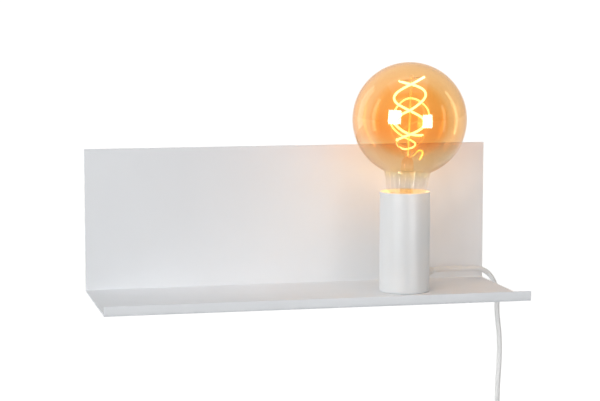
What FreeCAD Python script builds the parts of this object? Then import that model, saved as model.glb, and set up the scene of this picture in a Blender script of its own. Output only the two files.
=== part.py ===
import FreeCAD
import Part
import math
import os

# Wall lamp with a small shelf: one folded steel sheet (back plate, shelf and
# front lip) hung on a wall rail, a round lamp cup standing on the shelf with a
# screw-thread globe lamp in it, and a mains cord that leaves the cup low at the
# back, runs over the right-hand end of the shelf and hangs down.
#
# Working frame of this file: +Z up, +X right, the room is on the -Y side.
# X = 0 is the middle of the sheet, Y = 0 the front face of the back plate and
# Z = 0 the top face of the shelf.  place() moves everything to the final frame,
# whose origin is on the wall plane, midway between the two wall slots.

V = FreeCAD.Vector

# ---------------------------------------------------------------- dimensions
WIDTH = 350.0          # sheet width
SHEET_T = 1.5          # sheet thickness
BACK_H = 119.2         # back plate above the shelf's top face
DEPTH = 127.0          # back plate's front face to the lip's front face
LIP_H = 6.8            # lip above the shelf's top face
BEND_IN = 0.8          # inside bend radius of the folds

STANDOFF = 5.1         # back plate's rear face to the wall
RAIL_T = 1.5           # both hanging rails
SLOT_Z = 80.0          # wall slots above the shelf's top face
SLOT_SPACING = 240.0
SLOT_W = 4.5
SLOT_L = 12.0

LAMP_X = 86.0          # axis of the cup
LAMP_Y = -61.2
CUP_R = 21.0
CUP_WALL = 1.2
CUP_H = 84.2
CUP_FLOOR = 1.5
SCREW_X = 11.0         # the two bridge screws, each side of the axis

GLOBE_R = 47.8
GLOBE_Z = 144.28       # centre of the globe along the lamp's own axis
GLASS_T = 0.7
LEAN_DEG = 2.375       # the glass sits a little out of true in its cap
LEAN_Z = 55.0
CAP_R = 13.1           # E27 cap, crest of the thread
SHELL_R = 13.5         # lampholder's screw shell, inside

CORD_D = 4.6
EXIT_DEG = 40.0        # direction in which the cord leaves the cup
EXIT_Z = 12.2
RELIEF_L = 20.0

SWITCH_X = 185.6
SWITCH_Y = -13.2
SWITCH_TOP = -111.0
SWITCH_L = 58.0
ROCKER_DEG = 8.0       # tilt of the rocker at rest, lamp switched on

COIL_MID_R = 25.3      # middle of the turns
COIL_HALF = 7.0        # half of the square bundle of nine turns

# Control points of the cord's hanging route, from the tip of the strain relief
# to the top of the switch.
ROUTE_A = [
    (117.408, -34.846, 12.2), (123.54, -29.70, 12.2), (131.7, -26.0, 12.1),
    (144.0, -21.6, 11.5), (156.3, -17.5, 10.2), (167.7, -13.8, 9.8),
    (176.9, -10.1, 5.2), (183.6, -6.8, -2.9), (187.5, -5.2, -14.7),
    (186.5, -6.4, -30.6), (188.4, -9.7, -52.2), (187.5, -12.2, -76.1),
    (185.6, -13.2, -96.5), (185.6, -13.2, -111.0),
]

# Centre lines of the soft LED filaments, two strands wound about each other
# and a thinner pair behind them.
STRAND_A = [
    (98.6, -73.6, 180.1), (93.0, -75.5, 177.2), (87.0, -75.0, 174.2),
    (80.9, -71.6, 170.7), (76.9, -65.4, 166.7), (76.4, -58.0, 162.0),
    (81.2, -50.0, 157.1), (88.0, -47.0, 153.5), (94.0, -47.4, 150.5),
    (99.3, -50.3, 147.6), (103.0, -55.6, 144.8), (103.0, -64.3, 141.8),
    (98.5, -72.5, 138.5), (92.8, -75.2, 135.5), (86.1, -75.2, 132.6),
    (80.4, -72.6, 130.3), (76.4, -68.2, 127.5),
]
STRAND_B = [
    (84.1, -48.6, 175.7), (89.6, -46.9, 173.8), (95.4, -47.5, 172.6),
    (100.4, -50.4, 170.9), (103.9, -55.6, 168.3), (103.2, -64.1, 164.5),
    (98.2, -73.3, 161.0), (92.0, -75.5, 156.5), (86.0, -75.0, 152.6),
    (80.3, -71.9, 149.7), (76.4, -66.6, 145.9), (76.5, -58.2, 141.9),
    (82.4, -50.6, 137.1), (88.2, -49.3, 133.0), (93.7, -50.0, 130.9),
    (98.5, -52.3, 130.0), (102.5, -57.0, 130.6),
]
STRAND_C = [
    (80.6, -49.2, 151.9), (84.9, -44.9, 156.1), (89.9, -44.0, 159.7),
    (94.8, -44.4, 161.2), (99.6, -46.9, 160.3), (103.6, -50.6, 157.4),
    (106.2, -56.0, 153.6), (106.6, -61.5, 149.6), (105.0, -66.5, 146.0),
]
STRAND_D = [
    (74.2, -56.0, 141.6), (78.6, -48.2, 136.2), (84.4, -45.4, 131.6),
    (89.9, -44.8, 127.9), (95.6, -45.6, 125.6), (99.3, -47.2, 121.6),
    (96.0, -46.6, 117.2), (90.6, -45.4, 115.6), (86.0, -45.4, 118.4),
    (83.9, -46.2, 122.8), (84.6, -46.8, 127.0),
]

OFFSET = V(0, -(STANDOFF + SHEET_T), -SLOT_Z)
AXIS = V(LAMP_X, LAMP_Y, 0)

os.makedirs("parts", exist_ok=True)


# ------------------------------------------------------------------- helpers
def place(shape):
    s = shape.copy()
    s.translate(OFFSET)
    return s


def export(name, shape):
    s = place(shape)
    if not s.isValid():
        s = s.removeSplitter()
    solids = s.Solids
    out = solids[0] if len(solids) == 1 else Part.makeCompound(solids)
    print("%-22s solids %2d  volume %10.2f mm3  valid %s"
          % (name, len(solids), sum(x.Volume for x in solids), out.isValid()))
    out.exportStep("parts/%s.step" % name)
    return out


def cyl(r, h, base, direction=V(0, 0, 1)):
    return Part.makeCylinder(r, h, base, direction)


def box(x0, x1, y0, y1, z0, z1):
    return Part.makeBox(x1 - x0, y1 - y0, z1 - z0, V(x0, y0, z0))


def prism_x(points, x0, x1):
    """A closed outline of (y, z) points, extruded along X."""
    pts = [V(x0, y, z) for y, z in points]
    pts.append(pts[0])
    return Part.Face(Part.makePolygon(pts)).extrude(V(x1 - x0, 0, 0))


def prism_y(points, y0, y1):
    """A closed outline of (x, z) points, extruded along Y."""
    pts = [V(x, y0, z) for x, z in points]
    pts.append(pts[0])
    return Part.Face(Part.makePolygon(pts)).extrude(V(0, y1 - y0, 0))


def turned(points, base=AXIS):
    """A closed outline of (r, z) points, turned about the vertical through base."""
    pts = [V(base.x + r, base.y, base.z + z) for r, z in points]
    pts.append(pts[0])
    face = Part.Face(Part.makePolygon(pts))
    return face.revolve(V(base.x, base.y, base.z), V(0, 0, 1), 360)


def turned_about(points, base, direction):
    """A closed outline of (r, along) points, turned about a free axis."""
    s = turned(points, V(0, 0, 0))
    rot = FreeCAD.Rotation(V(0, 0, 1), direction)
    s.Placement = FreeCAD.Placement(base, rot)
    return s


def hexagon(across_flats, h, centre, bore=0.0):
    r = across_flats / math.sqrt(3.0)
    pts = [V(centre.x + r * math.cos(math.radians(60 * i + 30)),
             centre.y + r * math.sin(math.radians(60 * i + 30)), centre.z)
           for i in range(6)]
    pts.append(pts[0])
    s = Part.Face(Part.makePolygon(pts)).extrude(V(0, 0, h))
    # crowned corners
    s = s.common(Part.makeCone(r * 0.93, r * 0.93 + h, h, centre))
    s = s.common(Part.makeCone(r * 0.93 + h, r * 0.93, h, centre))
    if bore:
        s = s.cut(cyl(bore, h + 2, centre - V(0, 0, 1)))
    return s


def fillet_edges(shape, radius, test):
    edges = [e for e in shape.Edges if test(e)]
    return shape.makeFillet(radius, edges) if edges else shape


def along_x(y, z):
    """Edges that run along X through (y, z)."""
    def test(e):
        a, b = e.Vertexes[0].Point, e.Vertexes[-1].Point
        return (abs(a.y - b.y) < 1e-6 and abs(a.z - b.z) < 1e-6
                and abs(a.y - y) < 1e-4 and abs(a.z - z) < 1e-4
                and abs(a.x - b.x) > 1)
    return test


def ring_edge(z, r=None, base=AXIS):
    """Circular edges at one height, of one radius about the lamp's axis."""
    def test(e):
        c = e.Curve
        return (isinstance(c, Part.Circle) and abs(c.Center.z - z) < 1e-4
                and abs(c.Center.x - base.x) < 1e-4
                and abs(c.Center.y - base.y) < 1e-4
                and (r is None or abs(c.Radius - r) < 1e-4))
    return test


def rounded_path(points):
    """Straight runs joined by tangent arcs, each as large as its runs allow."""
    pts = [V(*p) for p in points]
    edges, radii, last = [], [], pts[0]
    for i in range(1, len(pts) - 1):
        a, b, c = pts[i - 1], pts[i], pts[i + 1]
        u, w = a - b, c - b
        la, lb = u.Length, w.Length
        u.normalize()
        w.normalize()
        turn = math.pi - math.acos(max(-1.0, min(1.0, u.dot(w))))
        cut = 0.45 * min(la, lb)
        r = cut / math.tan(turn / 2)
        p, q = b + u * cut, b + w * cut
        mid_dir = u + w
        mid_dir.normalize()
        to_centre = r / math.cos(turn / 2)
        m = b + mid_dir * (to_centre - r)
        edges.append(Part.LineSegment(last, p).toShape())
        edges.append(Part.Arc(p, m, q).toShape())
        radii.append(r)
        last = q
    edges.append(Part.LineSegment(last, pts[-1]).toShape())
    return Part.Wire(edges), radii


def cord(points, diameter, name=None):
    """A round tube swept along such a path."""
    wire, radii = rounded_path(points)
    start = V(*points[0])
    direction = V(*points[1]) - start
    profile = Part.Wire(Part.makeCircle(diameter / 2, start, direction))
    solid = wire.makePipeShell([profile], True, False)
    want = math.pi * diameter ** 2 / 4 * wire.Length
    if name:
        print("%-22s length %.1f mm, volume %.1f against %.1f, arc radii %s"
              % (name, wire.Length, solid.Volume, want,
                 " ".join("%.1f" % r for r in radii)))
    if abs(solid.Volume - want) > 0.01 * want:
        print("  volume differs on", name)
    return solid


def lean(shape):
    s = shape.copy()
    s.rotate(V(LAMP_X, LAMP_Y, LEAN_Z), V(0, 1, 0), LEAN_DEG)
    return s


# ------------------------------------------------------------- folded sheet
bo = BEND_IN + SHEET_T
sheet = prism_x([
    (SHEET_T, BACK_H), (0, BACK_H), (0, 0), (-(DEPTH - SHEET_T), 0),
    (-(DEPTH - SHEET_T), LIP_H), (-DEPTH, LIP_H), (-DEPTH, -SHEET_T),
    (SHEET_T, -SHEET_T)], -WIDTH / 2, WIDTH / 2)
for radius, y, z in ((BEND_IN, 0, 0), (BEND_IN, -(DEPTH - SHEET_T), 0),
                     (bo, SHEET_T, -SHEET_T), (bo, -DEPTH, -SHEET_T)):
    sheet = fillet_edges(sheet, radius, along_x(y, z))
for sx in (-SCREW_X, SCREW_X):
    sheet = sheet.cut(cyl(2.25, 6, V(LAMP_X + sx, LAMP_Y, -4)))
export("shelf_bracket", sheet)

# ------------------------------------------------------------ hanging rails
wall_y = SHEET_T + STANDOFF
rail = prism_x([
    (wall_y, 72), (wall_y, 90), (wall_y - 1.8, 90), (wall_y - 1.8, 100),
    (wall_y - 3.3, 100), (wall_y - 3.3, 88.5), (wall_y - 1.5, 88.5),
    (wall_y - 1.5, 72)], -150, 150)
for sx in (-SLOT_SPACING / 2, SLOT_SPACING / 2):
    half = SLOT_L / 2 - SLOT_W / 2
    slot = cyl(SLOT_W / 2, 10, V(sx - half, wall_y - 6, SLOT_Z), V(0, 1, 0))
    slot = slot.fuse(cyl(SLOT_W / 2, 10, V(sx + half, wall_y - 6, SLOT_Z), V(0, 1, 0)))
    slot = slot.fuse(box(sx - half, sx + half, wall_y - 6, wall_y + 4,
                         SLOT_Z - SLOT_W / 2, SLOT_Z + SLOT_W / 2))
    rail = rail.cut(slot.removeSplitter())
export("wall_rail", rail)

rail = prism_x([
    (SHEET_T, 114), (SHEET_T, 100), (wall_y - 1.7, 100), (wall_y - 1.7, 91),
    (wall_y - 0.2, 91), (wall_y - 0.2, 101.5), (SHEET_T + RAIL_T, 101.5),
    (SHEET_T + RAIL_T, 114)], -145, 145)
export("lamp_rail", rail)

bumpers = []
for sx in (-155, 155):
    b = cyl(6.0, STANDOFF, V(sx, SHEET_T, 12), V(0, 1, 0))
    bumpers.append(b)
export("rear_bumpers", Part.makeCompound(bumpers))

# ----------------------------------------------------------------- lamp cup
ex = V(math.cos(math.radians(EXIT_DEG)), math.sin(math.radians(EXIT_DEG)), 0)
exit_base = V(LAMP_X, LAMP_Y, EXIT_Z)
cup = cyl(CUP_R, CUP_H, AXIS)
cup = fillet_edges(cup, 1.5, ring_edge(0, CUP_R))
cup = cup.cut(cyl(CUP_R - CUP_WALL, CUP_H, AXIS + V(0, 0, CUP_FLOOR)))
cup = fillet_edges(cup, 0.35, ring_edge(CUP_H))
cup = cup.cut(cyl(4.1, 12, exit_base + ex * 14, ex))
for sx in (-SCREW_X, SCREW_X):
    cup = cup.cut(cyl(2.25, 6, V(LAMP_X + sx, LAMP_Y, -2)))
export("lamp_cup", cup)

# bridge that carries the lampholder, screwed down through the shelf
zb = CUP_FLOOR
bridge = prism_y([
    (6.5, zb), (16.5, zb), (16.5, 24.0), (-16.5, 24.0), (-16.5, zb),
    (-6.5, zb), (-6.5, zb + 1.5), (-15.0, zb + 1.5), (-15.0, 22.5),
    (15.0, 22.5), (15.0, zb + 1.5), (6.5, zb + 1.5)], -7, 7)
bridge.translate(AXIS)


def bend_edges(dx, z):
    def test(e):
        a, b = e.Vertexes[0].Point, e.Vertexes[-1].Point
        return (abs(a.x - b.x) < 1e-6 and abs(a.z - b.z) < 1e-6
                and abs(abs(a.x - LAMP_X) - dx) < 1e-4 and abs(a.z - z) < 1e-4)
    return test


for radius, dx, z in ((2.0, 16.5, 24.0), (0.5, 15.0, 22.5), (2.0, 16.5, zb), (0.5, 15.0, zb + 1.5)):
    bridge = fillet_edges(bridge, radius, bend_edges(dx, z))
bridge = bridge.cut(cyl(5.05, 10, AXIS + V(0, 0, 18)))
for sx in (-SCREW_X, SCREW_X):
    bridge = bridge.cut(cyl(2.25, 5, V(LAMP_X + sx, LAMP_Y, 0)))
export("holder_bridge", bridge)

screws, nuts = [], []
for sx in (-SCREW_X, SCREW_X):
    c = V(LAMP_X + sx, LAMP_Y, 0)
    head = turned([(0, -SHEET_T - 2.5), (2.4, -SHEET_T - 2.5), (3.5, -SHEET_T - 1.9),
                   (3.9, -SHEET_T - 0.9), (3.9, -SHEET_T), (2.0, -SHEET_T),
                   (2.0, 8.2), (1.5, 8.8), (0, 8.8)], c)
    for a, b in ((2.1, 0.4), (0.4, 2.1)):
        head = head.cut(box(c.x - a, c.x + a, c.y - b, c.y + b, -SHEET_T - 3, -SHEET_T - 1.1))
    screws.append(head)
    nuts.append(hexagon(7.0, 3.2, c + V(0, 0, zb + 1.5), 2.0))
export("bridge_screws", Part.makeCompound(screws))
export("bridge_nuts", Part.makeCompound(nuts))

# threaded entry tube with its lock nut and toothed washer
nipple = turned([(3.5, 17.5), (4.6, 17.5), (5.0, 17.9), (5.0, 32.6), (4.6, 33.0), (3.5, 33.0)])
export("entry_nipple", nipple)
export("entry_nut", hexagon(13.0, 2.6, AXIS + V(0, 0, 19.9), 5.0))
washer = cyl(7.2, 0.6, AXIS + V(0, 0, 24.0))
for i in range(12):
    a = math.radians(30 * i)
    t = box(-0.9, 0.9, 6.6, 8.4, 0, 0.6)
    t.rotate(V(0, 0, 0), V(0, 0, 1), 30 * i)
    t.translate(AXIS + V(0, 0, 24.0))
    washer = washer.fuse(t)
washer = washer.removeSplitter().cut(cyl(5.05, 3, AXIS + V(0, 0, 23)))
export("toothed_washer", washer)

# -------------------------------------------------------------- lampholder
cap = turned([(5.0, 24.6), (9.0, 24.6), (12.5, 27.2), (15.6, 33.0), (16.6, 42.0),
              (16.6, 46.0), (15.2, 46.0), (15.0, 42.4), (14.4, 35.0), (11.6, 29.6),
              (8.6, 27.4), (7.6, 27.4), (7.6, 34.0), (5.0, 34.0)])
export("holder_cap", cap)
skirt = turned([(16.6, 41.0), (18.0, 41.0), (18.0, 78.6), (17.1, 79.5), (14.7, 79.5),
                (14.7, 78.0), (16.2, 77.6), (16.2, 47.4), (16.6, 46.4)])
# grip ribs on the outside are shallow grooves
for i in range(24):
    g = cyl(0.45, 22, V(18.15, 0, 46))
    g.rotate(V(0, 0, 0), V(0, 0, 1), 15 * i)
    g.translate(AXIS)
    skirt = skirt.cut(g)
export("holder_skirt", skirt)

insert = cyl(13.9, 10.0, AXIS + V(0, 0, 37.0))
insert = insert.cut(cyl(6.2, 1.2, AXIS + V(0, 0, 45.8)))
tscrews = []
for sx in (-6.5, 6.5):
    insert = insert.cut(cyl(1.0, 6.0, AXIS + V(sx, 0, 36.5)))
    insert = insert.cut(cyl(1.5, 14.2, AXIS + V(sx, -14.2, 41.5), V(0, 1, 0)))
    insert = insert.cut(cyl(2.7, 5.4, AXIS + V(sx, -15.2, 41.5), V(0, 1, 0)))
    s = cyl(1.5, 7.8, AXIS + V(sx, -9.8, 41.5), V(0, 1, 0))
    s = s.fuse(cyl(2.6, 1.4, AXIS + V(sx, -11.2, 41.5), V(0, 1, 0)))
    s = s.cut(box(LAMP_X + sx - 2.7, LAMP_X + sx + 2.7, LAMP_Y - 11.7, LAMP_Y - 10.5, 41.15, 41.85))
    tscrews.append(s.removeSplitter())
export("holder_insert", insert)
export("terminal_screws", Part.makeCompound(tscrews))

shell = turned([(9.0, 47.0), (13.85, 47.0), (13.85, 76.4), (14.3, 77.0), (14.3, 77.4),
                (13.9, 77.4), (13.5, 76.7), (13.5, 47.35), (9.0, 47.35)])
export("screw_shell", shell)
contact = prism_y([(-5.0, 45.8), (5.0, 45.8), (5.0, 46.2), (-3.6, 46.2), (2.6, 51.2),
                   (4.4, 51.2), (4.4, 51.6), (2.3, 51.6), (-5.0, 46.5)], -2.6, 2.6)
contact.translate(AXIS)
export("centre_contact", contact)

# ---------------------------------------------- cord entry and inner leads
relief = turned_about([
    (2.3, 16.8), (4.5, 16.8), (4.5, 18.6), (4.0, 18.9), (4.0, 21.0), (5.0, 21.0),
    (5.0, 22.0), (4.4, 23.0), (3.3, 21.0 + RELIEF_L), (2.3, 21.0 + RELIEF_L)],
    exit_base, ex)
export("strain_relief", relief)
inlet = cyl(CORD_D / 2, 21.0 + RELIEF_L - 8.0, exit_base + ex * 8.0, ex)
export("cord_inlet", inlet)
clip = turned_about([(2.3, 9.0), (4.2, 9.0), (4.2, 13.0), (2.3, 13.0)], exit_base, ex)
export("cord_clip", clip)

across = V(-ex.y, ex.x, 0)
for name, side, sx in (("lead_brown", -1.1, 6.5), ("lead_blue", 1.1, -6.5)):
    a = exit_base + ex * 8.0 + across * side
    b = exit_base + across * side
    d = AXIS + across * side + V(0, 0, 32.6)
    e = AXIS + V(sx, 0, 35.7)
    f = AXIS + V(sx, 0, 41.0)
    pts = [(p.x, p.y, p.z) for p in (a, b, d, e, f)]
    export(name, cord(pts, 1.8, name))

# -------------------------------------------------------------- globe lamp
export("bulb_contact", turned([(0, 52.0), (4.0, 52.0), (4.75, 52.6), (4.75, 53.6), (0, 53.6)]))
export("bulb_insulator", turned([(0, 53.6), (4.75, 53.6), (4.75, 53.0), (7.4, 53.0),
                                 (10.9, 57.3), (10.9, 58.0), (0, 58.0)]))
export("bulb_cap", turned([(10.9, 57.4), (11.3, 57.4), (CAP_R, 60.2), (CAP_R, 80.0), (12.75, 80.0),
                           (12.75, 60.4), (11.2, 58.4), (10.9, 58.4)]))


def curve(points):
    c = Part.BSplineCurve()
    c.interpolate([V(LAMP_X + r, LAMP_Y, z) for r, z in points])
    return c.toShape()


def arc(p, m, q):
    return Part.Arc(*[V(LAMP_X + r, LAMP_Y, z) for r, z in (p, m, q)]).toShape()


def seg(p, q):
    return Part.LineSegment(*[V(LAMP_X + r, LAMP_Y, z) for r, z in (p, q)]).toShape()


def envelope(inner):
    """Half section of the globe and its neck, as edges from the foot up."""
    t = GLASS_T if inner else 0.0
    fx, fz = 21.95, 98.4
    n = math.hypot(fx, GLOBE_Z - fz)
    ux, uz = fx / n, -(GLOBE_Z - fz) / n
    g = GLOBE_R - t
    fr = n - g                      # the fillet just touches the globe
    touch = (g * ux, GLOBE_Z + g * uz)
    a0, a1 = math.pi, math.atan2(-uz, -ux)
    am = (a0 + a1) / 2
    foot = (fx + fr * math.cos(a0), fz)
    mid = (fx + fr * math.cos(am), fz + fr * math.sin(am))
    neck = [(11.3 - t, 79.8), (12.4 - t, 82.2), (15.3 - t, 84.8), (16.8 - t, 87.4),
            (17.5 - t, 90.5), (18.25 - t, 94.6), foot]
    return [seg((11.3 - t, 66.0), (11.3 - t, 79.8)), curve(neck),
            arc(foot, mid, touch), arc(touch, (g, GLOBE_Z), (0, GLOBE_Z + g))]


outer, inner = envelope(False), envelope(True)
edges = outer + [seg((0, GLOBE_Z + GLOBE_R), (0, GLOBE_Z + GLOBE_R - GLASS_T))] + inner \
    + [seg((11.3 - GLASS_T, 66.0), (11.3, 66.0))]
wire = Part.Wire(Part.__sortEdges__(edges))
glass = Part.Face(wire).revolve(AXIS, V(0, 0, 1), 360)
if glass.ShapeType != "Solid":
    glass = Part.Solid(glass.Shells[0])
export("bulb_glass", lean(glass))

neck_plug = lean(cyl(11.3, 20, AXIS + V(0, 0, 62)))
export("cap_cement", cyl(12.72, 11.0, AXIS + V(0, 0, 67.0)).cut(neck_plug))

stem = turned([(10.6, 66.0), (10.6, 66.8), (7.6, 68.6), (5.7, 72.5), (5.4, 76.0), (5.4, 106.0),
               (4.5, 110.4), (1.8, 113.0), (0, 113.4), (0, 111.9), (1.4, 111.6),
               (3.7, 109.2), (4.7, 105.6), (4.7, 76.0), (4.9, 72.8), (6.9, 68.2), (9.6, 66.0)])
export("bulb_stem", lean(stem))
rod = cyl(0.95, 64.6, AXIS + V(0, 0, 113.4)).fuse(Part.makeSphere(1.7, AXIS + V(0, 0, 179.2)))
export("support_rod", lean(rod.removeSplitter()))

wires = [
    cord([(90.2, -61.2, 112.4), (94.6, -61.2, 114.6), (96.8, -61.2, 117.9), (99.6, -61.2, 118.4),
          (101.2, -61.2, 116.2), (100.0, -61.2, 112.9), (97.6, -61.2, 110.0)], 1.3),
    cord([(86.6, -61.8, 112.6), (83.0, -62.6, 117.6), (79.0, -65.2, 122.4), (76.5, -67.9, 127.2)], 0.7),
    cord([(89.4, -60.4, 113.2), (95.2, -59.6, 119.4), (100.2, -58.4, 125.0), (102.4, -57.1, 130.3)], 0.7),
    cord([(91.1, -61.4, 178.2), (94.0, -66.0, 179.4), (98.2, -73.0, 180.0)], 0.7),
    cord([(90.9, -61.0, 177.0), (88.0, -56.0, 176.8), (84.5, -49.2, 175.9)], 0.7),
]
export("lead_wires", Part.makeCompound(wires))
export("led_filaments", Part.makeCompound([
    cord(STRAND_A, 1.9), cord(STRAND_B, 1.9), cord(STRAND_C, 1.4), cord(STRAND_D, 1.4)]))

board = box(-7.0, 7.0, -0.6, 0.6, 59.0, 66.0)
board = board.fuse(box(-5.5, -1.0, -3.4, -0.6, 60.4, 64.6)).fuse(cyl(2.0, 6.0, V(3.4, 2.4, 59.6)))
board = board.removeSplitter()
board.translate(AXIS)
export("driver_board", board)

# ------------------------------------------------------------ hanging cord
export("cord_hanging", cord(ROUTE_A, CORD_D, "cord_hanging"))

# in-line switch: rear base, front cover, rocker on a steel axle
sz0, sz1 = SWITCH_TOP - SWITCH_L, SWITCH_TOP
zc = (sz0 + sz1) / 2
half_l = SWITCH_L / 2 - 5.0


def stadium(w, l, y0, y1, r):
    s = box(SWITCH_X - w / 2, SWITCH_X + w / 2, y0, y1, zc - l / 2, zc + l / 2)
    return s.makeFillet(r, [e for e in s.Edges
                            if abs(e.Vertexes[0].Point.y - e.Vertexes[-1].Point.y) > 1])


ys = SWITCH_Y
body = stadium(25.0, 2 * half_l, ys - 7.5, ys + 7.5, 7.0)
body = fillet_edges(body, 2.0, lambda e: all(abs(abs(v.Point.y - ys) - 7.5) < 1e-4 for v in e.Vertexes))
for sign in (1, -1):
    c = Part.makeCone(5.2, 3.6, 5.0, V(SWITCH_X, ys, zc + sign * half_l), V(0, 0, sign))
    body = body.fuse(c)
body = body.removeSplitter()
hollow = stadium(21.4, 2 * half_l - 3.6, ys - 5.7, ys + 5.7, 5.4)
body = body.cut(hollow)
for sign in (1, -1):
    # pillars that take the two case screws
    body = body.fuse(cyl(3.0, 13.0, V(SWITCH_X + 6.4, ys - 6.5, zc + sign * 18.6), V(0, 1, 0)))
    body = body.cut(cyl(1.1, 11.0, V(SWITCH_X + 6.4, ys - 4.0, zc + sign * 18.6), V(0, 1, 0)))
    body = body.cut(cyl(2.1, 2.0, V(SWITCH_X + 6.4, ys + 6.2, zc + sign * 18.6), V(0, 1, 0)))
front = body.common(box(SWITCH_X - 30, SWITCH_X + 30, ys - 20, ys, sz0 - 5, sz1 + 5))
rear = body.common(box(SWITCH_X - 30, SWITCH_X + 30, ys, ys + 20, sz0 - 5, sz1 + 5))
# window for the rocker
front = front.cut(box(SWITCH_X - 6.1, SWITCH_X + 6.1, ys - 9, ys - 5, zc - 11.4, zc + 11.4))
pivot = V(SWITCH_X, ys - 4.2, zc)
# two cheeks inside the cover carry the axle
for s in (1, -1):
    x0, x1 = sorted((SWITCH_X + s * 6.5, SWITCH_X + s * 8.5))
    front = front.fuse(box(x0, x1, ys - 6.0, ys - 1.6, zc - 3.2, zc + 3.2))
front = front.removeSplitter().cut(cyl(1.0, 17.0, pivot - V(8.5, 0, 0), V(1, 0, 0)))
export("switch_base", rear)
export("switch_cover", front)
export("rocker_axle", cyl(1.0, 17.0, pivot - V(8.5, 0, 0), V(1, 0, 0)))

rocker = cyl(11.0, 11.6, pivot - V(5.8, 0, 0), V(1, 0, 0))
keep = prism_x([(pivot.y - 5.4, zc + 11.5), (pivot.y - 4.3, zc), (pivot.y - 5.4, zc - 11.5),
                (pivot.y - 0.6, zc - 11.5), (pivot.y + 1.9, zc - 3.0), (pivot.y + 1.9, zc + 3.0),
                (pivot.y - 0.6, zc + 11.5)], SWITCH_X - 5.8, SWITCH_X + 5.8)
rocker = rocker.common(keep)
rocker = rocker.cut(cyl(1.05, 14.0, pivot - V(7, 0, 0), V(1, 0, 0)))
rocker.rotate(pivot, V(1, 0, 0), ROCKER_DEG)
export("switch_rocker", rocker)

sc = []
for sign in (1, -1):
    b = V(SWITCH_X + 6.4, ys + 7.4, zc + sign * 18.6)
    s = cyl(1.1, 9.4, b - V(0, 10.6, 0), V(0, 1, 0)).fuse(cyl(2.0, 1.2, b - V(0, 1.2, 0), V(0, 1, 0)))
    s = s.cut(box(b.x - 1.5, b.x + 1.5, b.y - 0.6, b.y + 0.5, b.z - 0.25, b.z + 0.25))
    sc.append(s.removeSplitter())
export("switch_screws", Part.makeCompound(sc))
terms = []
for sign in (1, -1):
    t = box(SWITCH_X - 7.0, SWITCH_X - 1.5, ys + 1.0, ys + 5.7, zc + sign * 15.0 - 4.0, zc + sign * 15.0 + 4.0)
    t = t.cut(cyl(1.2, 12, V(SWITCH_X - 4.2, ys + 3.2, zc + sign * 15.0 - 6.0)))
    terms.append(t)
export("switch_terminals", Part.makeCompound(terms))

# ---------------------------------------- put-away length, tie and plug
corner_z = sz0 - 22.0
outer_turn = COIL_MID_R + 4.65
coil_x, coil_y = SWITCH_X, SWITCH_Y - 4.65
coil_z = corner_z - outer_turn * math.sqrt(2)
c0 = V(coil_x, coil_y - COIL_HALF, coil_z)
ring = cyl(COIL_MID_R + COIL_HALF, 2 * COIL_HALF, c0, V(0, 1, 0))
ring = ring.cut(cyl(COIL_MID_R - COIL_HALF, 2 * COIL_HALF + 2, c0 - V(0, 1, 0), V(0, 1, 0)))
ring = ring.makeFillet(2.3, [e for e in ring.Edges if isinstance(e.Curve, Part.Circle)])
export("cord_coil", ring)

k = outer_turn / math.sqrt(2)
lower = cord([(SWITCH_X, SWITCH_Y, sz0), (SWITCH_X, SWITCH_Y, corner_z),
              (SWITCH_X - k, SWITCH_Y, coil_z + k)], CORD_D, "cord_to_coil")
lower = lower.cut(ring)
lower = sorted(lower.Solids, key=lambda s: -s.Volume)[0]
export("cord_to_coil", lower)

tail_x, tail_y = SWITCH_X - outer_turn, coil_y - 4.65
relief_z = coil_z - 20.0
tail = cyl(CORD_D / 2, 20.0, V(tail_x, tail_y, relief_z)).cut(ring)
tail = sorted(tail.Solids, key=lambda s: s.CenterOfMass.z)[0]
export("cord_tail", tail)

tie = box(-6.0, 6.0, -COIL_HALF - 1.5, COIL_HALF + 1.5, 15.8, 33.9)
tie = tie.makeFillet(1.2, [e for e in tie.Edges if abs(e.Vertexes[0].Point.x - e.Vertexes[-1].Point.x) > 1])
tie = tie.cut(box(-8.0, 8.0, -COIL_HALF - 0.2, COIL_HALF + 0.2, 17.1, 32.6))
tie.rotate(V(0, 0, 0), V(0, 1, 0), 17.0)
tie.translate(V(coil_x, coil_y, coil_z))
export("coil_tie", tie)

plug_top = relief_z - 20.0
export("plug_relief", Part.makeCone(4.4, 3.2, 20.0, V(tail_x, tail_y, plug_top)))
face_z = plug_top - 32.0
plug = prism_y([(-17.65, face_z), (17.65, face_z), (17.65, face_z + 13.0), (6.5, plug_top),
                (-6.5, plug_top), (-17.65, face_z + 13.0)], -6.85, 6.85)
plug.translate(V(tail_x, tail_y, 0))
plug = fillet_edges(plug, 4.0, lambda e: abs(e.Vertexes[0].Point.y - e.Vertexes[-1].Point.y) > 1
                    and abs(e.Vertexes[0].Point.z - (face_z + 13.0)) < 1e-4)
plug = fillet_edges(plug, 2.2, lambda e: all(abs(abs(v.Point.y - tail_y) - 6.85) < 1e-4 for v in e.Vertexes)
                    and not all(abs(v.Point.z - face_z) < 1e-4 for v in e.Vertexes)
                    and not all(abs(v.Point.z - plug_top) < 1e-4 for v in e.Vertexes))
pins, sleeves = [], []
for s in (-9.3, 9.3):
    b = V(tail_x + s, tail_y, face_z)
    pins.append(turned([(0, 6.0), (1.5, 6.0), (1.5, -10.0), (2.0, -10.0), (2.0, -17.6),
                        (1.4, -18.7), (0, -19.0)], b))
    sleeves.append(turned([(1.5, 3.0), (1.95, 3.0), (1.95, -10.0), (1.5, -10.0)], b))
    plug = plug.cut(cyl(1.5, 6.0, b)).cut(cyl(1.95, 3.0, b))
export("plug_body", plug)
export("plug_pins", Part.makeCompound(pins))
export("plug_sleeves", Part.makeCompound(sleeves))
print("coil centre", (coil_x, coil_y, round(coil_z, 2)), "plug face", round(face_z, 2),
      "tail", (round(tail_x, 2), round(tail_y, 2)))
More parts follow.
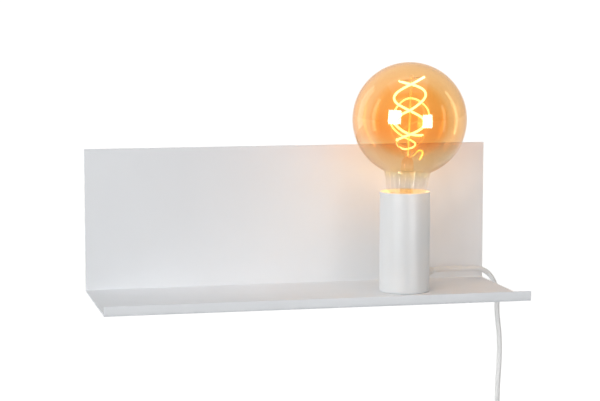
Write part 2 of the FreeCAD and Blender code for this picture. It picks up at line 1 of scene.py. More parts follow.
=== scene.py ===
import bpy
import bmesh
import math
import random
from mathutils import Matrix, Vector
from mathutils.geometry import tessellate_polygon


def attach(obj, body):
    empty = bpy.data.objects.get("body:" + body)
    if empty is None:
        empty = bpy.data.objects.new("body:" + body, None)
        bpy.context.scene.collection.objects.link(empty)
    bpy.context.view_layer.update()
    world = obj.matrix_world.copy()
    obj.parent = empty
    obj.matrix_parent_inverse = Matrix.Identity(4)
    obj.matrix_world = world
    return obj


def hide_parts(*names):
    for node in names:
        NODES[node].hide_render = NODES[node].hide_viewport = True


# Wall lamp with a folded steel shelf, a round lamp cup, a globe lamp with
# wound LED filaments and a mains cord with a switch and a plug.

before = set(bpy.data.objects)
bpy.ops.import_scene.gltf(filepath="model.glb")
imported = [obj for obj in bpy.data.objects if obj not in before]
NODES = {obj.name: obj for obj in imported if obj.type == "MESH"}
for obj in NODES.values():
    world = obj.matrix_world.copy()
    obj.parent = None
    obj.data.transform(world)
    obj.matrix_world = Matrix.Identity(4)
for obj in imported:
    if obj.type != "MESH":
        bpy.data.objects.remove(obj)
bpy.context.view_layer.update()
SCENE = bpy.context.scene
random.seed(7)

# The CAD source works in millimetres from the back plate's front face and the
# shelf's top face; the row's origin is on the wall, 6.6 mm behind and 80 mm up.
SHIFT = Vector((0.0, -0.0066, -0.080))


def P(x, y, z):
    """A point given in millimetres from the sheet's corner, in the row frame."""
    return Vector((x / 1000, y / 1000, z / 1000)) + SHIFT


# ------------------------------------------------------------------- camera
cam_data = bpy.data.cameras.new("camera")
cam_data.lens = 112.68
cam_data.sensor_width = 36.0
cam_data.clip_start = 0.05
cam_data.clip_end = 500.0
camera = bpy.data.objects.new("camera", cam_data)
SCENE.collection.objects.link(camera)
camera.location = P(-345.7, -1564.3, 250.1)
camera.rotation_euler = (math.radians(90 - 6.35), 0, math.radians(-12.81))
SCENE.camera = camera


# -------------------------------------------------------------------- cords
def line(name, points, diameter, resolution=6):
    """A round cord on one smooth spline with these control points."""
    data = bpy.data.curves.new(name, "CURVE")
    data.dimensions = "3D"
    data.bevel_depth = diameter / 2
    data.bevel_resolution = 5
    data.use_fill_caps = True
    spline = data.splines.new("NURBS")
    spline.points.add(len(points) - 1)
    for p, co in zip(spline.points, points):
        p.co = (co[0], co[1], co[2], 1.0)
    spline.order_u = 3
    spline.use_endpoint_u = True
    spline.resolution_u = resolution
    data.resolution_u = resolution
    obj = bpy.data.objects.new(name, data)
    SCENE.collection.objects.link(obj)
    return obj


CORD_D = 0.0046

# from the tip of the strain relief to the top of the switch
ROUTE_A = [
    (117.408, -34.846, 12.2), (123.54, -29.70, 12.2), (131.7, -26.0, 12.1),
    (144.0, -21.6, 11.5), (156.3, -17.5, 10.2), (167.7, -13.8, 9.8),
    (176.9, -10.1, 5.2), (183.6, -6.8, -2.9), (187.5, -5.2, -14.7),
    (186.5, -6.4, -30.6), (188.4, -9.7, -52.2), (187.5, -12.2, -76.1),
    (185.6, -13.2, -96.5), (185.6, -13.2, -111.0),
]
cord_a = line("cord_to_switch", [P(*p) for p in ROUTE_A], CORD_D, 10)

# from the switch to the tied coil, nine turns, and on to the plug
SW_X, SW_Y = 185.6, -13.2
MID_R, PITCH = 25.3, 4.65
CELLS = [(1, 1), (0, 1), (-1, 1), (-1, 0), (-1, -1), (0, -1), (0, 0), (1, 0), (1, -1)]
COIL = (SW_X, SW_Y - PITCH, -191.0 - (MID_R + PITCH) * math.sqrt(2))


def coil_points(per_turn=14):
    """Control points of the tied turns, each turn in its own place in the bundle."""
    rng = random.Random(3)
    ease = 1 / math.cos(math.pi / per_turn)
    start, total = 135.0, 9 * 360 + 45.0
    count = round(total / 360 * per_turn)
    pts = []
    for i in range(count + 1):
        gone = total * i / count
        k = gone / 360.0
        n = min(int(k), 8)
        part = k - n
        a, b = CELLS[n], CELLS[min(n + 1, 8)]
        t = max(0.0, min(1.0, (part - 0.76) / 0.24))
        t = t * t * (3 - 2 * t)
        r = MID_R + PITCH * (a[0] + (b[0] - a[0]) * t)
        y = PITCH * (a[1] + (b[1] - a[1]) * t)
        loose = 0.0 if i < 2 or i > count - 2 else 0.22
        r += rng.uniform(-loose, loose * 0.4)
        y += rng.uniform(-loose, loose)
        y = max(-PITCH - 0.03, min(PITCH + 0.03, y))
        ang = math.radians(start + gone)
        pts.append((COIL[0] + r * ease * math.cos(ang), COIL[1] + y,
                    COIL[2] + r * ease * math.sin(ang)))
    return pts


k = (MID_R + PITCH) / math.sqrt(2)
turns = coil_points()
ROUTE_B = [(SW_X, SW_Y, -169.0), (SW_X, SW_Y, -180.0), (SW_X, SW_Y, -191.0),
           (SW_X - 0.55 * k, SW_Y, -191.0 - 0.55 * k)]
ROUTE_B += turns[1:-1]
TAIL_X, TAIL_Y = COIL[0] - (MID_R + PITCH), COIL[1] - PITCH
ROUTE_B += [(TAIL_X, TAIL_Y, COIL[2] - 3.0), (TAIL_X, TAIL_Y, COIL[2] - 11.0),
            (TAIL_X, TAIL_Y, COIL[2] - 21.0)]
cord_b = line("cord_to_plug", [P(*p) for p in ROUTE_B], CORD_D, 5)

# ------------------------------------------------------------- mesh helpers
LAMP, BULB, CARRIER, ROCKER = "lamp", "bulb", "bulb_carrier", "rocker"
AX, AY = 86.0, -61.2            # the lamp's axis, in the sheet's millimetres
LEAN = (Matrix.Translation(P(AX, AY, 55.0)) @ Matrix.Rotation(math.radians(2.375), 4, "Y")
        @ Matrix.Translation(-P(AX, AY, 55.0)))


def finish_mesh(me, sharp=38.0):
    me.validate()
    me.update()
    for p in me.polygons:
        p.use_smooth = True
    me.set_sharp_from_angle(angle=math.radians(sharp))


def mesh_obj(name, verts, faces, sharp=38.0):
    me = bpy.data.meshes.new(name)
    me.from_pydata([tuple(v) for v in verts], [], faces)
    bm = bmesh.new()
    bm.from_mesh(me)
    bmesh.ops.remove_doubles(bm, verts=bm.verts, dist=1e-7)
    bmesh.ops.recalc_face_normals(bm, faces=bm.faces)
    bm.to_mesh(me)
    bm.free()
    finish_mesh(me, sharp)
    obj = bpy.data.objects.new(name, me)
    SCENE.collection.objects.link(obj)
    return obj


def soften(points, radius, n=4, closed=True):
    """An outline with its corners rounded. A point may carry its own radius as a third number."""
    pts = [(p[0], p[1], p[2] if len(p) > 2 else radius) for p in points]
    out, count = [], len(pts)
    for i, (x, y, r) in enumerate(pts):
        if (not closed and i in (0, count - 1)) or r <= 0:
            out.append((x, y))
            continue
        a, c = pts[i - 1], pts[(i + 1) % count]
        u = Vector((a[0] - x, a[1] - y))
        w = Vector((c[0] - x, c[1] - y))
        if u.length < 1e-9 or w.length < 1e-9:
            out.append((x, y))
            continue
        turn = math.pi - u.angle(w)
        if turn < 0.03:
            out.append((x, y))
            continue
        cut = min(r * math.tan(turn / 2), 0.46 * u.length, 0.46 * w.length)
        rr = cut / math.tan(turn / 2)
        p0 = Vector((x, y)) + u.normalized() * cut
        p1 = Vector((x, y)) + w.normalized() * cut
        mid = (u.normalized() + w.normalized()).normalized()
        centre = Vector((x, y)) + mid * (rr / math.cos(turn / 2))
        a0 = math.atan2(p0.y - centre.y, p0.x - centre.x)
        a1 = math.atan2(p1.y - centre.y, p1.x - centre.x)
        d = (a1 - a0 + math.pi) % (2 * math.pi) - math.pi
        steps = max(2, round(n * turn / (math.pi / 2)))
        for j in range(steps + 1):
            t = a0 + d * j / steps
            out.append((centre.x + rr * math.cos(t), centre.y + rr * math.sin(t)))
    return out


def lathe(name, outline, base, direction=(0, 0, 1), segs=96, closed=True, sharp=38.0, shape=None):
    """An outline of (radius, along) in millimetres, turned about an axis through base.
    shape(radius, along, angle) may change the radius round the turn."""
    q = Vector((0, 0, 1)).rotation_difference(Vector(direction).normalized()).to_matrix()
    verts, rings = [], []
    for r, z in outline:
        if r < 1e-6:
            rings.append([len(verts)])
            verts.append(base + q @ Vector((0, 0, z / 1000)))
            continue
        ring = []
        for i in range(segs):
            t = 2 * math.pi * i / segs
            rr, zz = (r, z) if shape is None else shape(r, z, t)
            ring.append(len(verts))
            verts.append(base + q @ Vector((rr * math.cos(t) / 1000, rr * math.sin(t) / 1000, zz / 1000)))
        rings.append(ring)
    faces = []
    pairs = list(zip(rings[:-1], rings[1:]))
    if closed:
        pairs.append((rings[-1], rings[0]))
    for a, b in pairs:
        if len(a) == 1 and len(b) == 1:
            continue
        for i in range(segs):
            j = (i + 1) % segs
            if len(a) == 1:
                faces.append((a[0], b[i], b[j]))
            elif len(b) == 1:
                faces.append((a[i], b[0], a[j]))
            else:
                faces.append((a[i], b[i], b[j], a[j]))
    return mesh_obj(name, verts, faces, sharp)


def inset(outline, d):
    """An outline moved inwards by d, along the mean normal of each corner."""
    n, out = len(outline), []
    area = sum(outline[i][0] * outline[(i + 1) % n][1] - outline[(i + 1) % n][0] * outline[i][1] for i in range(n))
    s = 1.0 if area > 0 else -1.0
    for i in range(n):
        a, b, c = (Vector(outline[j % n]) for j in (i - 1, i, i + 1))
        u, w = (b - a), (c - b)
        if u.length < 1e-9 or w.length < 1e-9:
            out.append((b.x, b.y))
            continue
        u.normalize()
        w.normalize()
        nu, nw = Vector((-u.y, u.x)) * s, Vector((-w.y, w.x)) * s
        m = nu + nw
        if m.length < 1e-6:
            out.append((b.x, b.y))
            continue
        m.normalize()
        out.append((b.x + m.x * d / max(0.35, m.dot(nu)), b.y + m.y * d / max(0.35, m.dot(nu))))
    return out


def slab(name, outline, to3d, a0, a1, edge0, edge1=None, steps=4, spans=1, sharp=38.0):
    """An outline pushed along an axis from a0 to a1, with its two rims rounded."""
    edge1 = edge0 if edge1 is None else edge1
    rings = []
    for j in range(steps + 1):
        t = math.pi / 2 * j / steps
        rings.append((edge0 * (1 - math.sin(t)), a0 + edge0 * (1 - math.cos(t))))
    for j in range(1, spans):
        rings.append((0.0, a0 + edge0 + (a1 - a0 - edge0 - edge1) * j / spans))
    for j in range(steps + 1):
        t = math.pi / 2 * (1 - j / steps)
        rings.append((edge1 * (1 - math.sin(t)), a1 - edge1 * (1 - math.cos(t))))
    verts, faces, n = [], [], len(outline)
    for d, a in rings:
        verts += [to3d(u, w, a) for u, w in (inset(outline, d) if d > 1e-9 else outline)]
    for k2 in range(len(rings) - 1):
        for i in range(n):
            j = (i + 1) % n
            faces.append((k2 * n + i, k2 * n + j, (k2 + 1) * n + j, (k2 + 1) * n + i))
    last = (len(rings) - 1) * n
    for tri in tessellate_polygon([[Vector((u, w, 0)) for u, w in inset(outline, edge0)]]):
        faces.append(tuple(tri))
    for tri in tessellate_polygon([[Vector((u, w, 0)) for u, w in inset(outline, edge1)]]):
        faces.append(tuple(last + i for i in tri))
    return mesh_obj(name, verts, faces, sharp)


def apply_modifiers(obj):
    dg = bpy.context.evaluated_depsgraph_get()
    me = bpy.data.meshes.new_from_object(obj.evaluated_get(dg))
    obj.modifiers.clear()
    old = obj.data
    obj.data = me
    bpy.data.meshes.remove(old)
    return obj


def cut(obj, tool, sharp=38.0):
    """Takes tool's shape out of obj, and removes tool."""
    m = obj.modifiers.new("cut", "BOOLEAN")
    m.operation, m.solver, m.object = "DIFFERENCE", "EXACT", tool
    apply_modifiers(obj)
    bpy.data.objects.remove(tool)
    finish_mesh(obj.data, sharp)
    return obj


def refine(node, name, width, sharp=30.0, segments=3):
    """A copy of a CAD node with its sharp edges rounded."""
    me = NODES[node].data.copy()
    me.name = name
    me.materials.clear()
    bm = bmesh.new()
    bm.from_mesh(me)
    bmesh.ops.remove_doubles(bm, verts=bm.verts, dist=2e-6)
    bmesh.ops.dissolve_limit(bm, angle_limit=math.radians(0.6), verts=bm.verts, edges=bm.edges)
    bm.to_mesh(me)
    bm.free()
    for att in [a.name for a in me.attributes if a.name == "custom_normal"]:
        me.attributes.remove(me.attributes[att])
    obj = bpy.data.objects.new(name, me)
    SCENE.collection.objects.link(obj)
    m = obj.modifiers.new("edge", "BEVEL")
    m.width, m.segments, m.limit_method = width / 1000, segments, "ANGLE"
    m.angle_limit = math.radians(sharp)
    m.use_clamp_overlap = True
    apply_modifiers(obj)
    finish_mesh(obj.data, 40.0)
    return obj


def strand(name, runs, diameter, resolution=8, taper=None):
    """One or more round wires in one piece, each on a smooth spline."""
    data = bpy.data.curves.new(name, "CURVE")
    data.dimensions = "3D"
    data.bevel_depth = diameter / 2000
    data.bevel_resolution = 4
    data.use_fill_caps = True
    for points in runs:
        spline = data.splines.new("NURBS")
        spline.points.add(len(points) - 1)
        for p, co in zip(spline.points, points):
            q = P(*co[:3])
            p.co = (q.x, q.y, q.z, 1.0)
            if len(co) > 3:
                p.radius = co[3]
        spline.order_u = 3
        spline.use_endpoint_u = True
        spline.resolution_u = resolution
    obj = bpy.data.objects.new(name, data)
    SCENE.collection.objects.link(obj)
    dg = bpy.context.evaluated_depsgraph_get()
    me = bpy.data.meshes.new_from_object(obj.evaluated_get(dg))
    bpy.data.objects.remove(obj)
    finish_mesh(me, 50.0)
    out = bpy.data.objects.new(name, me)
    SCENE.collection.objects.link(out)
    return out


def join(name, objs):
    """Several meshes in one piece."""
    bm = bmesh.new()
    for o in objs:
        part = o.data.copy()
        part.transform(o.matrix_world)
        bm.from_mesh(part)
        bpy.data.meshes.remove(part)
    me = bpy.data.meshes.new(name)
    bm.to_mesh(me)
    bm.free()
    for o in objs:
        bpy.data.objects.remove(o)
    finish_mesh(me)
    out = bpy.data.objects.new(name, me)
    SCENE.collection.objects.link(out)
    return out


def stands_for(obj, body, slot, material, *nodes):
    obj.data.materials.clear()
    obj.data.materials.append(material)
    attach(obj, body)
    if nodes:
        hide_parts(*nodes)
    return obj


def finish_node(node, material):
    """A carried-over CAD node takes a better material on its object's own slots."""
    o = NODES[node]
    for s in o.material_slots:
        s.link = "OBJECT"
        s.material = material


# ---------------------------------------------------------------- materials
class Shade:
    """A small builder for one node material."""

    def __init__(self, name, colour, rough, metal=0.0, **more):
        self.mat = bpy.data.materials.new(name)
        self.mat.use_nodes = True
        self.t = self.mat.node_tree
        self.t.nodes.clear()
        self.out = self.t.nodes.new("ShaderNodeOutputMaterial")
        self.b = self.t.nodes.new("ShaderNodeBsdfPrincipled")
        self.t.links.new(self.b.outputs[0], self.out.inputs[0])
        self.b.inputs["Base Color"].default_value = (*colour, 1)
        self.b.inputs["Roughness"].default_value = rough
        self.b.inputs["Metallic"].default_value = metal
        for key, value in more.items():
            self.b.inputs[key].default_value = value
        self.coords = self.t.nodes.new("ShaderNodeTexCoord").outputs["Object"]

    def node(self, kind, **values):
        n = self.t.nodes.new(kind)
        for key, value in values.items():
            if key in n.inputs:
                n.inputs[key].default_value = value
            else:
                setattr(n, key, value)
        return n

    def link(self, a, b):
        self.t.links.new(a, b)

    def stretched(self, sx, sy, sz):
        m = self.node("ShaderNodeMapping")
        m.inputs["Scale"].default_value = (sx, sy, sz)
        self.link(self.coords, m.inputs["Vector"])
        return m.outputs[0]

    def noise(self, scale, detail=2.0, rough=0.5, vector=None, distort=0.0):
        n = self.node("ShaderNodeTexNoise", Scale=scale, Detail=detail, Roughness=rough, Distortion=distort)
        self.link(vector or self.coords, n.inputs["Vector"])
        return n.outputs[0]

    def voronoi(self, scale, vector=None, feature="F1"):
        n = self.node("ShaderNodeTexVoronoi", feature=feature)
        n.inputs["Scale"].default_value = scale
        self.link(vector or self.coords, n.inputs["Vector"])
        return n.outputs["Distance"]

    def ramp(self, value, stops):
        n = self.node("ShaderNodeValToRGB")
        e = n.color_ramp.elements
        while len(e) < len(stops):
            e.new(0.5)
        for el, (at, colour) in zip(e, stops):
            el.position = at
            el.color = (*colour, 1) if len(colour) == 3 else colour
        self.link(value, n.inputs[0])
        return n.outputs[0]

    def spread(self, value, low, high, to_low=0.0, to_high=1.0):
        n = self.node("ShaderNodeMapRange")
        for key, v in (("From Min", low), ("From Max", high), ("To Min", to_low), ("To Max", to_high)):
            n.inputs[key].default_value = v
        self.link(value, n.inputs["Value"])
        return n.outputs["Result"]

    def math(self, op, a, b=None, c=None):
        n = self.node("ShaderNodeMath", operation=op)
        for i, v in enumerate((a, b, c)):
            if v is None:
                continue
            if isinstance(v, (int, float)):
                n.inputs[i].default_value = v
            else:
                self.link(v, n.inputs[i])
        return n.outputs[0]

    def colour(self, socket):
        self.link(socket, self.b.inputs["Base Color"])

    def rough(self, socket):
        self.link(socket, self.b.inputs["Roughness"])

    def bump(self, height, strength, distance):
        n = self.node("ShaderNodeBump", Strength=strength, Distance=distance)
        self.link(height, n.inputs["Height"])
        if self.b.inputs["Normal"].is_linked:
            self.link(self.b.inputs["Normal"].links[0].from_socket, n.inputs["Normal"])
        self.link(n.outputs[0], self.b.inputs["Normal"])


def powder(name, colour, rough, grain=1500.0, strength=0.35):
    """Powder coat: fine orange peel, slight drifts in shade and gloss."""
    s = Shade(name, colour, rough, **{"Specular IOR Level": 0.42})
    lo = tuple(c * 0.975 for c in colour)
    hi = tuple(min(1, c * 1.02) for c in colour)
    s.colour(s.ramp(s.noise(9.0, 3.0), [(0.3, lo), (0.7, hi)]))
    s.rough(s.spread(s.noise(60.0, 2.0), 0.3, 0.7, rough - 0.05, rough + 0.06))
    s.bump(s.noise(grain, 3.0, 0.55), strength, 0.00006)
    s.bump(s.noise(grain / 4, 1.0), strength * 0.6, 0.00008)
    return s.mat


def moulded(name, colour, rough, grain=2600.0, strength=0.12, drift=0.02):
    """Moulded plastic or rubber: faint texture, slight drift in gloss."""
    s = Shade(name, colour, rough)
    lo = tuple(c * (1 - drift) for c in colour)
    hi = tuple(min(1, c * (1 + drift)) for c in colour)
    s.colour(s.ramp(s.noise(45.0, 3.0), [(0.3, lo), (0.7, hi)]))
    s.rough(s.spread(s.noise(160.0, 3.0), 0.3, 0.7, rough - 0.05, rough + 0.07))
    s.bump(s.noise(grain, 2.0), strength, 0.00005)
    return s.mat


def metal(name, colour, rough, stretch=None, drift=0.06, grain=900.0, strength=0.1, shine=1.0, glow=None):
    """Plated or drawn metal with a brushed or cloudy finish. Glow stands for the light of a filament close by."""
    s = Shade(name, colour, rough, shine)
    if glow:
        s.b.inputs["Emission Color"].default_value = (*glow[:3], 1)
        s.b.inputs["Emission Strength"].default_value = glow[3]
    v = s.stretched(*stretch) if stretch else None
    lo = tuple(c * (1 - drift) for c in colour)
    hi = tuple(min(1, c * (1 + drift)) for c in colour)
    s.colour(s.ramp(s.noise(70.0, 4.0, vector=v), [(0.3, lo), (0.7, hi)]))
    s.rough(s.spread(s.noise(220.0, 4.0, vector=v), 0.25, 0.75, rough - 0.07, rough + 0.1))
    s.bump(s.noise(grain, 3.0, vector=v), strength, 0.00004)
    return s.mat


white_powder = powder("white powder coat", (0.805, 0.828, 0.855), 0.52)
cup_powder = powder("cup powder coat", (0.838, 0.858, 0.871), 0.46, 1700.0, 0.3)
zinc = metal("zinc plate", (0.70, 0.72, 0.74), 0.34, drift=0.09)
screw_steel = metal("screw steel", (0.62, 0.63, 0.65), 0.3)
bumper_rubber = moulded("bumper rubber", (0.035, 0.035, 0.037), 0.62, 1800.0, 0.3)
holder_plastic = moulded("holder plastic", (0.78, 0.76, 0.71), 0.4)
holder_ceramic = moulded("holder ceramic", (0.80, 0.78, 0.73), 0.24, 600.0, 0.1)
brass = metal("brass", (0.80, 0.60, 0.28), 0.28, drift=0.08)
nickel = metal("nickel plate", (0.72, 0.69, 0.64), 0.2, drift=0.05)
insulator = moulded("black glass insulator", (0.02, 0.02, 0.022), 0.12, 300.0, 0.2)
solder = metal("solder", (0.55, 0.55, 0.56), 0.42, drift=0.12, grain=500.0, strength=0.5)
cement = moulded("cap cement", (0.52, 0.48, 0.42), 0.85, 1500.0, 0.6, 0.08)
# painted light: the hook's wire is a brighter copy of the lead-in wire with a faint glow, for the filaments' light on
# it; the copy in the shade is the same wire darkened
lead_metal_painted_lit = metal("lead-in wire", (0.95, 0.74, 0.36), 0.3, shine=0.4, glow=(1.0, 0.55, 0.14, 0.06))
lead_dim = metal("lead-in wire in the shade", (0.55, 0.36, 0.14), 0.3, shine=0.6)
cord_white = moulded("cord sheath", (0.86, 0.86, 0.855), 0.38, 900.0, 0.1)
relief_white = moulded("strain relief rubber", (0.80, 0.80, 0.79), 0.5, 2000.0, 0.2)
brown = moulded("brown insulation", (0.12, 0.045, 0.018), 0.4)
blue = moulded("blue insulation", (0.02, 0.09, 0.35), 0.4)
switch_white = moulded("switch plastic", (0.84, 0.84, 0.83), 0.3, 1400.0, 0.12)
rocker_white = moulded("rocker plastic", (0.87, 0.87, 0.86), 0.22, 1200.0, 0.06)
plug_white = moulded("plug plastic", (0.82, 0.82, 0.81), 0.42, 2200.0, 0.25)
sleeve_white = moulded("pin sleeve", (0.70, 0.70, 0.69), 0.36)


def circuit():
    s = Shade("circuit board", (0.02, 0.11, 0.05), 0.4)
    s.colour(s.ramp(s.voronoi(420.0), [(0.25, (0.015, 0.10, 0.045)), (0.45, (0.05, 0.2, 0.09))]))
    s.bump(s.noise(900.0, 2.0), 0.2, 0.00008)
    return s.mat


def hook_fabric():
    """A loop fabric: fine looped pile over a faint diagonal rib."""
    s = Shade("hook-and-loop band", (0.72, 0.72, 0.71), 0.9, **{"Sheen Weight": 0.4, "Sheen Roughness": 0.5})
    w = s.node("ShaderNodeTexWave", Scale=900.0, Distortion=3.0, Detail=2.0)
    s.link(s.coords, w.inputs["Vector"])
    s.colour(s.ramp(s.noise(1800.0, 3.0), [(0.3, (0.60, 0.60, 0.59)), (0.7, (0.80, 0.80, 0.79))]))
    s.bump(s.noise(2600.0, 4.0), 0.8, 0.0002)
    s.bump(w.outputs[0], 0.35, 0.00012)
    return s.mat


board_mat = circuit()
tie_fabric = hook_fabric()

# the lamp's own axis leans a little; heights along it pick the coating's edge
AXIS_DIR = LEAN.to_3x3() @ Vector((0, 0, 1))
AXIS_FOOT = LEAN @ P(AX, AY, 0)


def along_lamp(s):
    """Height along the lamp's axis, in millimetres above the shelf."""
    sub = s.node("ShaderNodeVectorMath", operation="SUBTRACT")
    sub.inputs[1].default_value = AXIS_FOOT
    s.link(s.coords, sub.inputs[0])
    dot = s.node("ShaderNodeVectorMath", operation="DOT_PRODUCT")
    dot.inputs[1].default_value = AXIS_DIR
    s.link(sub.outputs[0], dot.inputs[0])
    return s.math("MULTIPLY", dot.outputs["Value"], 1000.0)


def thin_glass(name, stops, mirror, edge, dark, side_shade_painted=None, streaks=0.0, carried=None):
    """Thin blown glass. What passes is tinted by height and, seen slantwise, by the paler edge colour, a painted
    reflection of the white surroundings near the rim; the mirror grows towards the rim, where the glass wall also shows
    dark."""
    s = Shade(name, (1, 1, 1), 0.0)
    s.t.nodes.remove(s.b)
    height = along_lamp(s)
    low, high = stops[0][0], stops[-1][0]
    tint = s.ramp(s.spread(height, low, high), [((z - low) / (high - low), c) for z, c in stops])
    facing = s.node("ShaderNodeLayerWeight", Blend=0.5).outputs["Facing"]
    slow = s.spread(s.noise(16.0, 2.0), 0.3, 0.7, -0.012, 0.012)
    if streaks:
        # the clear neck is drawn glass, a little uneven round its turn
        mul = s.node("ShaderNodeMix", data_type="RGBA", blend_type="MULTIPLY")
        s.link(s.spread(height, 96.0, 104.0, 1.0, 0.0), mul.inputs[0])
        s.link(tint, mul.inputs[6])
        s.link(s.ramp(s.noise(1.0, 2.0, 0.6, s.stretched(360.0, 360.0, 9.0)), [(0.36, (1 - streaks,) * 3), (0.6, (1, 1, 1))]),
               mul.inputs[7])
        tint = mul.outputs[2]
    # painted reflection: seen slantwise the tint is lightened towards the paler edge colour, for the white surroundings
    # mirrored near the rim
    if edge:
        pale = s.node("ShaderNodeMix", data_type="RGBA", blend_type="LIGHTEN")
        s.link(s.ramp(s.math("ADD", facing, slow), [(0.17, (0, 0, 0)), (0.24, (0.30,) * 3), (0.31, (0.72,) * 3), (0.55, (1, 1, 1))]),
               pale.inputs[0])
        s.link(tint, pale.inputs[6])
        s.link(s.ramp(s.spread(height, low, high), [((z - low) / (high - low), c) for z, c in edge]), pale.inputs[7])
        tint = pale.outputs[2]
    # painted shade: above about 80 mm the tint is darkened towards the globe's +X side and kept full on its -X side,
    # for the light falling less on that side
    if side_shade_painted:
        x = s.node("ShaderNodeSeparateXYZ")
        s.link(s.coords, x.inputs[0])
        side = s.ramp(s.spread(x.outputs["X"], AXIS_FOOT.x - 0.036, AXIS_FOOT.x + 0.036),
                      [(0.0, side_shade_painted[0]), (1.0, side_shade_painted[1])])
        mul = s.node("ShaderNodeMix", data_type="RGBA", blend_type="MULTIPLY")
        s.link(s.spread(height, low + 20.0, low + 50.0), mul.inputs[0])
        s.link(tint, mul.inputs[6])
        s.link(side, mul.inputs[7])
        tint = mul.outputs[2]
    mix = s.node("ShaderNodeMix", data_type="RGBA", blend_type="MULTIPLY")
    s.link(s.math("MULTIPLY", s.math("POWER", facing, dark[3]), s.spread(height, 96.0, 102.0, *dark[4])), mix.inputs[0])
    s.link(tint, mix.inputs[6])
    mix.inputs[7].default_value = (*dark[:3], 1)
    passed = s.node("ShaderNodeBsdfTransparent")
    s.link(mix.outputs[2], passed.inputs[0])
    shine = s.node("ShaderNodeBsdfGlossy")
    shine.inputs["Color"].default_value = (1, 1, 1, 1)
    shine.inputs["Roughness"].default_value = 0.02
    n = s.node("ShaderNodeBump", Strength=0.2, Distance=0.0004)
    s.link(s.noise(30.0, 2.0), n.inputs["Height"])
    s.link(n.outputs[0], shine.inputs["Normal"])
    # the coated part mirrors more than the clear neck
    m = s.node("ShaderNodeMixShader")
    base = s.spread(height, 92.0, 107.0, *mirror)
    s.link(s.math("MULTIPLY_ADD", s.math("POWER", facing, 5.0), 0.55, base), m.inputs[0])
    s.link(passed.outputs[0], m.inputs[1])
    s.link(shine.outputs[0], m.inputs[2])
    done = m.outputs[0]
    if carried:
        # the filaments' light led along the glass
        glow = s.node("ShaderNodeEmission")
        glow.inputs["Color"].default_value = (1.0, 0.55, 0.22, 1)
        s.link(s.ramp(s.spread(height, low, high), [((z - low) / (high - low), (v, v, v)) for z, v in carried]),
               glow.inputs["Strength"])
        both = s.node("ShaderNodeAddShader")
        s.link(done, both.inputs[0])
        s.link(glow.outputs[0], both.inputs[1])
        done = both.outputs[0]
    s.link(done, s.out.inputs[0])
    s.mat.use_transparent_shadow = True
    return s.mat


CLEAR = (0.993, 0.992, 0.994)
amber_glass = thin_glass(
    "amber coated glass",
    [(60.0, CLEAR), (93.5, CLEAR), (97.0, (0.991, 0.983, 0.952)), (100.5, (0.988, 0.962, 0.885)),
     (106.0, (0.986, 0.927, 0.80)), (114.0, (0.981, 0.868, 0.70)), (121.0, (0.983, 0.812, 0.60)), (130.0, (0.998, 0.745, 0.475)),
     (144.0, (1.0, 0.757, 0.482)), (154.0, (1.0, 0.783, 0.53)), (175.0, (1.0, 0.785, 0.525)), (192.2, (1.0, 0.885, 0.725))],
    (0.009, 0.045), [(60.0, (0.985, 0.955, 0.915)), (96.0, (0.985, 0.945, 0.885)), (116.0, (0.985, 0.938, 0.872)),
                     (128.0, (0.992, 0.86, 0.745)), (136.0, (0.993, 0.860, 0.715)), (192.2, (0.998, 0.870, 0.72))],
    # the dark rim colour, then the painted side shade: full tint on the -X side, darker on the +X side
    (0.77, 0.60, 0.40, 6.5, (0.2, 1.0)), ((1.0, 1.0, 0.97), (0.945, 0.955, 0.905)), 0.03)
stem_glass = thin_glass(
    "clear stem glass", [(60.0, (0.997, 0.985, 0.96)), (90.0, (0.997, 0.98, 0.945)), (100.0, (0.997, 0.96, 0.89)),
                         (106.0, (0.995, 0.92, 0.80)), (110.0, (0.995, 0.86, 0.70)), (113.0, (0.99, 0.88, 0.72)),
                         (192.0, (0.99, 0.88, 0.72))], (0.005, 0.005), None, (0.80, 0.66, 0.48, 7.0, (0.9, 0.9)), None, 0.03,
    [(60.0, 0.0), (88.0, 0.01), (94.0, 0.03), (101.0, 0.07), (107.0, 0.10), (113.0, 0.09), (192.0, 0.09)])


def lit_rod():
    """The glass rod carries some of the filaments' light along it."""
    s = Shade("lit glass rod", (0.95, 0.80, 0.50), 0.12, **{"Alpha": 0.36})
    s.b.inputs["Emission Color"].default_value = (1.0, 0.74, 0.36, 1)
    lit_up = s.spread(s.noise(90.0, 3.0, vector=s.stretched(1.0, 1.0, 0.35)), 0.35, 0.65, 0.05, 0.34)
    s.link(s.math("MULTIPLY", lit_up, s.spread(along_lamp(s), 113.0, 124.0, 0.2, 1.0)), s.b.inputs["Emission Strength"])
    s.bump(s.noise(240.0, 2.0), 0.2, 0.0001)
    return s.mat


rod_glass = lit_rod()


def glowing(name, colour, strength):
    """A lit LED filament: phosphor strip with small dies along it."""
    s = Shade(name, (1.0, 0.8, 0.4), 0.5)
    s.b.inputs["Emission Color"].default_value = (*colour, 1)
    s.b.inputs["Emission Strength"].default_value = strength
    s.bump(s.noise(1500.0, 2.0), 0.3, 0.0001)
    return s.mat


FILAMENT, FILAMENT_THIN = 3.4, 2.2
filament = glowing("lit filament", (1.0, 0.86, 0.72), FILAMENT)
filament_thin = glowing("lit thin filament", (1.0, 0.80, 0.52), FILAMENT_THIN)

